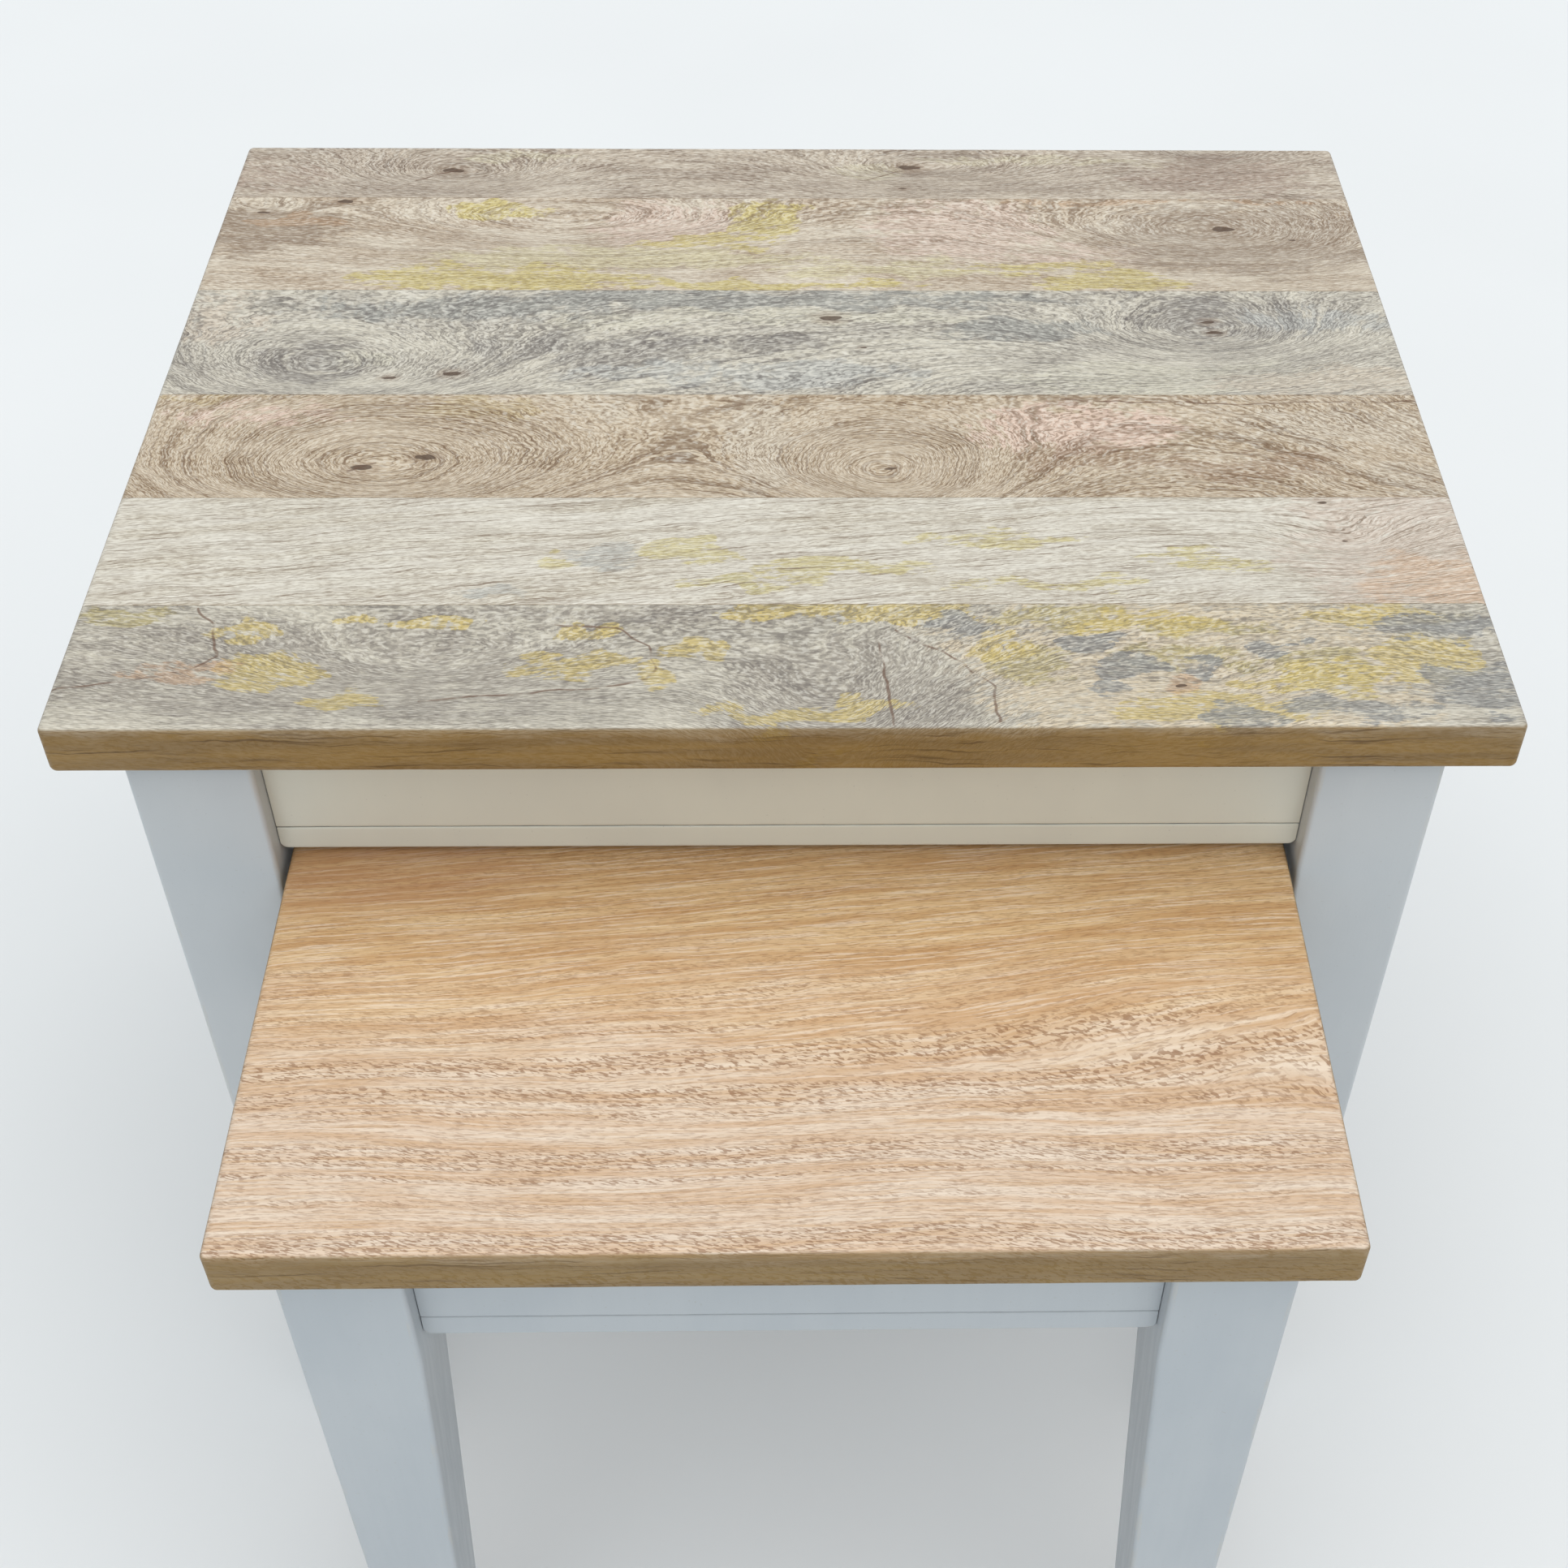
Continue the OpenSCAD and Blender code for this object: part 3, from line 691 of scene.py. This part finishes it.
# The look of each stave, front to back, in metres from the stave's own front left corner:
# - tones: light, middle and dark
# - hills: x, y, half width, half depth and height of each eye
# - slope, across: how fast the growth layers rise to the right and to the back
# - pores, rings, threads: strength of the dark dashes, the ring lines and the fine grain
# - contrast: between the light and the middle tone
# - seed: of the stave's noise
# - stains: colour, share, sharpness of the rim, and ellipses as in Graph.spots
# - knots: x, y and size
# - cracks: the points of each line
STAVES = {
    1: dict(
        tones=(srgb(206, 197, 180), srgb(178, 169, 154), srgb(104, 96, 92)),
        hills=[(0.14, 0.035, 0.10, 0.035, 0.050), (0.30, 0.006, 0.055, 0.045, 0.060),
               (0.44, 0.024, 0.050, 0.026, 0.020), (0.56, 0.030, 0.060, 0.050, 0.030)],
        slope=-0.06, across=0.85, pores=0.52, rings=0.30, seed=0.31, threads=0.28,
        stains=[
            (srgb(214, 196, 168), 0.95, 0.25, [
                (0.44, 0.036, 0.12, 0.075, 1.0), (0.37, 0.05, 0.05, 0.03, 0.7)]),
            (srgb(162, 152, 140), 0.70, 0.3, [
                (0.10, 0.034, 0.16, 0.044, 0.8), (0.30, 0.014, 0.062, 0.050, 1.0),
                (0.20, 0.066, 0.12, 0.010, 0.9)]),
            (srgb(184, 168, 112), 0.75, 0.6, [
                (0.020, 0.066, 0.030, 0.008, 0.8), (0.385, 0.063, 0.04, 0.010, 0.9),
                (0.374, 0.036, 0.02, 0.016, 0.8), (0.433, 0.038, 0.04, 0.012, 0.8),
                (0.440, 0.058, 0.05, 0.008, 0.8), (0.485, 0.030, 0.03, 0.020, 0.8)]),
            (srgb(208, 184, 112), 0.80, 0.75, [
                (0.067, 0.057, 0.016, 0.011, 0.9), (0.110, 0.063, 0.016, 0.006, 0.9),
                (0.137, 0.060, 0.024, 0.005, 0.9), (0.080, 0.032, 0.032, 0.013, 0.9),
                (0.110, 0.015, 0.020, 0.007, 0.9), (0.197, 0.038, 0.036, 0.010, 0.8),
                (0.197, 0.057, 0.018, 0.006, 0.9), (0.233, 0.029, 0.010, 0.012, 0.9),
                (0.247, 0.043, 0.018, 0.006, 0.8), (0.283, 0.068, 0.036, 0.007, 1.0),
                (0.320, 0.068, 0.050, 0.010, 1.0), (0.360, 0.048, 0.014, 0.014, 0.9),
                (0.285, 0.008, 0.050, 0.009, 0.9), (0.425, 0.060, 0.045, 0.008, 0.9),
                (0.450, 0.010, 0.060, 0.010, 0.9), (0.483, 0.028, 0.034, 0.012, 0.9),
                (0.528, 0.038, 0.026, 0.022, 1.0), (0.520, 0.064, 0.045, 0.008, 0.9)]),
            (srgb(150, 148, 144), 0.90, 0.85, [
                (0.347, 0.060, 0.017, 0.009, 0.9), (0.395, 0.048, 0.017, 0.009, 1.0),
                (0.413, 0.034, 0.019, 0.008, 1.0), (0.403, 0.022, 0.016, 0.008, 1.0),
                (0.440, 0.033, 0.015, 0.011, 0.9), (0.470, 0.046, 0.016, 0.007, 0.9),
                (0.480, 0.013, 0.018, 0.008, 1.0), (0.453, 0.005, 0.017, 0.007, 0.9),
                (0.505, 0.010, 0.026, 0.010, 0.9), (0.536, 0.058, 0.034, 0.014, 1.0),
                (0.548, 0.022, 0.028, 0.020, 1.0)]),
            (srgb(204, 164, 128), 0.6, 0.6, [
                (0.433, 0.021, 0.012, 0.008, 0.9), (0.05, 0.033, 0.03, 0.006, 0.7)]),
        ],
        knots=[(0.430, 0.023, 0.0016)],
        cracks=[
            [(0.047, 0.070), (0.055, 0.060), (0.057, 0.052), (0.060, 0.041), (0.050, 0.033),
             (0.033, 0.028), (0.001, 0.022)],
            [(0.187, 0.060), (0.213, 0.057), (0.225, 0.047), (0.229, 0.033), (0.226, 0.027),
             (0.213, 0.023), (0.187, 0.020), (0.140, 0.015)],
            [(0.315, 0.050), (0.320, 0.002)],
            [(0.322, 0.056), (0.347, 0.037), (0.358, 0.023), (0.360, 0.003)],
        ],
    ),
    2: dict(
        tones=(srgb(220, 212, 198), srgb(204, 193, 174), srgb(132, 112, 94)),
        hills=[(0.10, -0.02, 0.18, 0.04, 0.012), (0.51, 0.040, 0.030, 0.018, 0.022)],
        slope=-0.10, pores=0.42, rings=0.20, contrast=0.75, seed=1.7, threads=0.80,
        stains=[
            (srgb(168, 170, 168), 0.6, 0.5, [
                (0.207, 0.031, 0.020, 0.012, 1.0), (0.160, 0.010, 0.018, 0.004, 0.8),
                (0.255, 0.014, 0.012, 0.004, 0.8)]),
            (srgb(206, 190, 116), 0.65, 0.7, [
                (0.183, 0.028, 0.014, 0.006, 0.9), (0.240, 0.034, 0.026, 0.009, 0.9),
                (0.258, 0.014, 0.022, 0.006, 0.9), (0.30, 0.022, 0.05, 0.008, 0.8),
                (0.36, 0.040, 0.05, 0.008, 0.7), (0.38, 0.012, 0.06, 0.006, 0.7),
                (0.45, 0.028, 0.04, 0.010, 0.6)]),
            (srgb(210, 190, 174), 0.7, 0.1, [
                (0.545, 0.035, 0.075, 0.070, 1.0)]),
            (srgb(214, 176, 142), 0.6, 0.1, [
                (0.550, 0.014, 0.045, 0.024, 1.0)]),
        ],
        knots=[(0.505, 0.066, 0.0014), (0.510, 0.040, 0.0008)],
    ),
    3: dict(
        tones=(srgb(210, 192, 168), srgb(180, 157, 128), srgb(112, 84, 60)),
        hills=[(0.100, 0.020, 0.095, 0.050, 0.120), (0.323, 0.018, 0.050, 0.034, 0.085),
               (0.600, 0.050, 0.110, 0.120, 0.060)],
        slope=0.05, across=0.42, pores=0.55, rings=0.70, contrast=0.65, seed=2.9, threads=0.30,
        stains=[
            (srgb(210, 196, 176), 0.7, 0.5, [
                (0.264, 0.04, 0.018, 0.06, 1.0), (0.20, 0.068, 0.06, 0.012, 0.6),
                (0.52, 0.050, 0.06, 0.020, 1.0), (0.55, 0.012, 0.03, 0.016, 0.9)]),
            (srgb(226, 198, 180), 0.9, 0.3, [
                (0.405, 0.050, 0.060, 0.024, 1.0), (0.05, 0.060, 0.05, 0.012, 0.5)]),
            (srgb(166, 138, 114), 0.6, 0.6, [
                (0.415, 0.026, 0.05, 0.014, 1.0), (0.475, 0.022, 0.05, 0.014, 1.0)]),
            (srgb(196, 174, 128), 0.5, 0.4, [
                (0.143, 0.065, 0.04, 0.012, 1.0), (0.02, 0.073, 0.04, 0.004, 0.9)]),
        ],
        knots=[(0.323, 0.020, 0.0016), (0.098, 0.021, 0.0034), (0.124, 0.028, 0.0032)],
        cracks=[
            [(0.092, 0.019), (0.103, 0.024)],
            [(0.40, 0.071), (0.48, 0.068), (0.56, 0.070)],
        ],
    ),
    4: dict(
        tones=(srgb(212, 203, 186), srgb(180, 171, 158), srgb(104, 96, 92)),
        hills=[(0.067, 0.018, 0.080, 0.040, 0.070), (0.475, 0.048, 0.055, 0.030, 0.055),
               (0.27, -0.03, 0.12, 0.06, 0.04)],
        slope=-0.04, across=0.6, pores=0.52, rings=0.50, contrast=0.8, seed=4.3, threads=0.50,
        stains=[
            (srgb(212, 204, 184), 0.8, 0.2, [
                (0.083, 0.026, 0.018, 0.010, 1.0), (0.285, 0.064, 0.10, 0.009, 1.0),
                (0.47, 0.012, 0.12, 0.018, 0.9), (0.20, 0.060, 0.05, 0.009, 0.8)]),
            (srgb(150, 143, 136), 0.62, 0.1, [
                (0.19, 0.036, 0.07, 0.020, 0.8), (0.277, 0.041, 0.030, 0.008, 0.9),
                (0.500, 0.060, 0.050, 0.022, 0.8)]),
            (srgb(148, 147, 142), 0.75, 0.1, [
                (0.387, 0.052, 0.050, 0.013, 1.0), (0.26, 0.077, 0.20, 0.011, 1.0),
                (0.13, 0.070, 0.10, 0.014, 0.8)]),
            (srgb(184, 184, 180), 0.6, 0.2, [
                (0.26, 0.016, 0.10, 0.016, 0.9), (0.53, 0.060, 0.05, 0.016, 0.8)]),
            (srgb(134, 126, 120), 0.70, 0.1, [
                (0.466, 0.061, 0.032, 0.022, 1.0), (0.062, 0.024, 0.036, 0.020, 0.9),
                (0.225, 0.044, 0.025, 0.012, 0.6)]),
            (srgb(208, 190, 170), 0.6, 0.3, [
                (0.52, 0.010, 0.07, 0.016, 0.9), (0.01, 0.06, 0.04, 0.03, 0.8)]),
        ],
        knots=[(0.100, 0.013, 0.0022), (0.128, 0.016, 0.0030), (0.298, 0.062, 0.0038),
               (0.313, 0.037, 0.0012), (0.474, 0.059, 0.0024), (0.476, 0.050, 0.0024)],
    ),
    5: dict(
        tones=(srgb(220, 206, 186), srgb(198, 178, 155), srgb(124, 100, 80)),
        hills=[(0.170, 0.060, 0.110, 0.036, 0.060), (0.492, 0.050, 0.110, 0.045, 0.080),
               (0.010, 0.075, 0.030, 0.020, 0.020)],
        slope=-0.05, across=0.55, pores=0.52, rings=0.55, seed=5.9, threads=0.35,
        stains=[
            (srgb(220, 196, 180), 0.8, 0.2, [
                (0.22, 0.060, 0.05, 0.030, 0.9), (0.360, 0.054, 0.06, 0.036, 1.0),
                (0.42, 0.030, 0.05, 0.014, 0.6)]),
            (srgb(218, 206, 166), 0.8, 0.2, [
                (0.20, 0.028, 0.12, 0.013, 1.0), (0.33, 0.018, 0.08, 0.010, 0.8)]),
            (srgb(212, 194, 118), 0.80, 0.5, [
                (0.137, 0.073, 0.032, 0.012, 0.9), (0.267, 0.066, 0.020, 0.030, 0.9),
                (0.235, 0.042, 0.050, 0.007, 0.8), (0.14, 0.010, 0.085, 0.016, 1.0),
                (0.26, 0.003, 0.10, 0.006, 0.9), (0.433, 0.008, 0.045, 0.010, 1.0),
                (0.40, 0.020, 0.06, 0.007, 0.6)]),
            (srgb(168, 151, 134), 0.75, 0.2, [
                (0.505, 0.050, 0.10, 0.045, 1.0)]),
            (srgb(148, 126, 106), 0.75, 0.2, [
                (0.015, 0.056, 0.055, 0.030, 1.0)]),
            (srgb(194, 158, 124), 0.6, 0.4, [
                (0.040, 0.062, 0.024, 0.008, 1.0), (0.45, 0.082, 0.10, 0.004, 0.8)]),
        ],
        knots=[(0.058, 0.081, 0.0026), (0.020, 0.070, 0.0020), (0.492, 0.056, 0.0038),
               (0.525, 0.046, 0.0013)],
    ),
    6: dict(
        tones=(srgb(208, 193, 174), srgb(180, 163, 146), srgb(108, 88, 74)),
        hills=[(0.108, 0.024, 0.055, 0.024, 0.045), (0.350, 0.030, 0.060, 0.020, 0.042),
               (0.497, 0.052, 0.030, 0.018, 0.030)],
        slope=0.02, across=0.6, pores=0.52, rings=0.55, seed=7.1, threads=0.40,
        stains=[
            (srgb(212, 200, 172), 0.75, 0.4, [
                (0.143, 0.041, 0.030, 0.006, 1.0), (0.317, 0.026, 0.024, 0.012, 0.8),
                (0.41, 0.038, 0.09, 0.006, 0.9)]),
            (srgb(170, 146, 130), 0.65, 0.2, [
                (0.500, 0.022, 0.06, 0.028, 1.0), (0.01, 0.02, 0.05, 0.02, 0.7)]),
        ],
        knots=[(0.108, 0.027, 0.0036), (0.340, 0.031, 0.0040), (0.336, 0.010, 0.0014)],
        cracks=[
            [(0.090, 0.017), (0.112, 0.029)],
            [(0.317, 0.019), (0.347, 0.032)],
        ],
    ),
}

for number, look in STAVES.items():
    node = "large_top_stave_%d" % number
    material = stave_wood("mottled_mango_%d" % number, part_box(node)[0], **look)
    board("large_top_board_%d" % number, node, large_low, large_high, "mottled_mango", material)

for node, seed in zip(boards, (0.6, 3.4)):
    material = plain_wood("natural_mango_" + node.split("_")[2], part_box(node)[0], seed)
    board(node + "_eased", node, small_low, small_high, "natural_mango", material)


# ---- The two base frames ----

felted, planed, plated = felt(), bare_wood(), zinc()
# Painted shade: the small table's legs and aprons get a darker, cooler copy of the same off-white
# paint
leg_paint_with_shaded_copy = {"large": paint("off_white_paint", srgb(199, 201, 202), srgb(193, 196, 198)),
             "small": paint("off_white_paint_small_shaded", srgb(184, 188, 191), srgb(178, 183, 187))}
# Painted light: the large table's aprons get a lighter, creamier copy of the paint, standing in
# for warm light thrown back from the small top
apron_paint_lit_and_shaded = {"large": paint("off_white_paint_aprons", srgb(222, 218, 203), srgb(216, 212, 198)),
               "small": leg_paint_with_shaded_copy["small"]}
for table in ("large", "small"):
    taper_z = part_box(table + "_apron_front")[0].z - TAPER_DROP
    for corner in corners:
        leg("%s_leg_%s" % (table, corner), FOOT_WIDE[table], taper_z, leg_paint_with_shaded_copy[table])
        glide("%s_glide_%s" % (table, corner), felted)
    for side in ("front", "back", "left", "right"):
        apron("%s_apron_%s" % (table, side), apron_paint_lit_and_shaded[table])

for name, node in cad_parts.items():
    if "corner_block" in name or "buttons" in name:
        chosen = planed
    elif name.endswith(("_bolts", "_washers", "_nuts", "_screws")):
        chosen = plated
    else:
        continue
    for place in node.material_slots:
        place.material = chosen


# ---- Floor, light and camera ----

def floor():
    g = Graph("pale_floor")
    grain = g.noise(g.scaled(g.point, (0.4, 0.4, 0.4)), detail=2.0)
    colour = g.mix(g.step(grain, 0.3, 0.7), srgb(232, 232, 232), srgb(230, 230, 230))
    material = g.finish(colour, g.step(grain, 0.3, 0.7, 0.8, 0.85), g.bump(grain, 0.0001, 0.1),
                        Specular_IOR_Level=0.2)
    build = bmesh.new()
    bmesh.ops.create_grid(build, x_segments=8, y_segments=8, size=FLOOR_HALF)
    mesh = bpy.data.meshes.new("floor")
    build.to_mesh(mesh)
    build.free()
    mesh.materials.append(material)
    made = bpy.data.objects.new("floor", mesh)
    made.location.z = -FLOOR_DROP
    scene.collection.objects.link(made)


def soft_sun(name, source, angle, strength, colour):
    """Even light from a wide patch of sky in the direction of the given point."""
    data = bpy.data.lights.new(name, "SUN")
    data.angle, data.energy, data.color = math.radians(angle), strength, colour
    made = bpy.data.objects.new(name, data)
    made.rotation_euler = Vector(source).to_track_quat("Z", "Y").to_euler()
    scene.collection.objects.link(made)


floor()
soft_sun("overhead", (0.1, -0.25, 1.0), 90, 2.52, (1.0, 0.975, 0.94))
soft_sun("front", (-0.2, -1.0, 0.45), 60, 0.30, (0.66, 0.85, 1.0))

world = bpy.data.worlds.new("studio")
world.use_nodes = True
sky = world.node_tree.nodes["Background"]
sky.inputs["Color"].default_value = (0.74, 0.89, 1.0, 1)
sky.inputs["Strength"].default_value = 0.38
scene.world = world

# The photograph's viewpoint, fitted to the corners of the tops, the legs and the aprons
VIEWPOINT = (0.0094, -0.7263, 1.0997)
PITCH, ROLL, YAW = (math.radians(a) for a in (45.484, 1.009, 1.714))
LENS, SENSOR = 49.35, 36
SHIFT = (-0.0474, 0.0229)

camera_data = bpy.data.cameras.new("camera")
camera_data.lens, camera_data.sensor_width = LENS, SENSOR
camera_data.shift_x, camera_data.shift_y = SHIFT
camera_data.clip_start, camera_data.clip_end = 0.05, 60
camera = bpy.data.objects.new("camera", camera_data)
flat = math.cos(PITCH)
ahead = Vector((math.sin(YAW) * flat, math.cos(YAW) * flat, -math.sin(PITCH)))
level = ahead.cross(UP).normalized()
above = level.cross(ahead)
right = level * math.cos(ROLL) + above * math.sin(ROLL)
over = above * math.cos(ROLL) - level * math.sin(ROLL)
turn = Matrix((right, over, -ahead)).transposed().to_4x4()
camera.matrix_world = Matrix.Translation(VIEWPOINT) @ turn
scene.collection.objects.link(camera)
scene.camera = camera
scene.view_settings.view_transform = "Standard"
